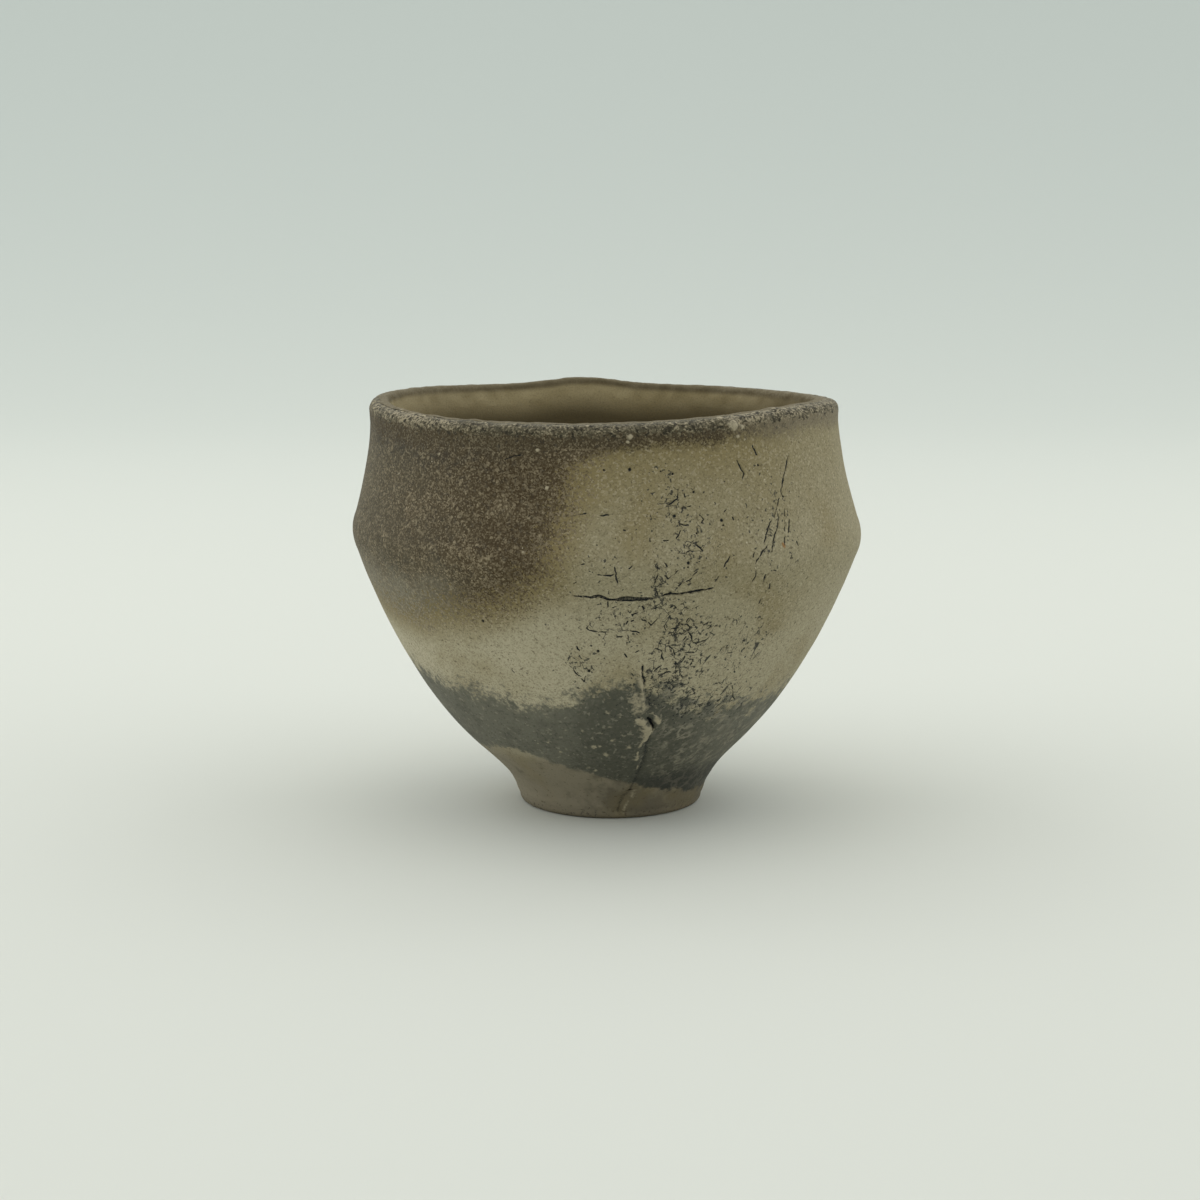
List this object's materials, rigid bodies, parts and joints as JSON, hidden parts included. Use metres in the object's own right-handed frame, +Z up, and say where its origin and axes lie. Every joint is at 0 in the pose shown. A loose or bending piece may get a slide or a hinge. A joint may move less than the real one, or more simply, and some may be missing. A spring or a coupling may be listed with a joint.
{
  "type": "guinomi sake cup",
  "caption": "Small hand-formed stoneware sake cup: keeled bowl on a narrow foot ring, inward-leaning wall, wavy rounded lip.",
  "frame": {"origin": "on the table, under the middle of the keel, which is the cup's widest line", "axes": "+Z up, out of the mouth; -Y is the side that the picture shows; +X is the cup's right in that view"},
  "size_m": [0.0664, 0.0656, 0.0535],
  "materials": {
    "foot_clay": "unglazed stoneware, brown-beige, matte",
    "bowl_clay": "unglazed stoneware, beige with dark grey ash shadow and fine cracks, matte",
    "wall_clay": "unglazed stoneware, beige with a brown smoke patch, matte",
    "lip_clay": "unglazed stoneware, dark grey-brown with pale grains, matte"
  },
  "bodies": {
    "root": {"foot_ring": "foot_clay", "lower_bowl": "bowl_clay", "upper_wall": "wall_clay", "lip_coil": "lip_clay"}
  },
  "joints": []
}
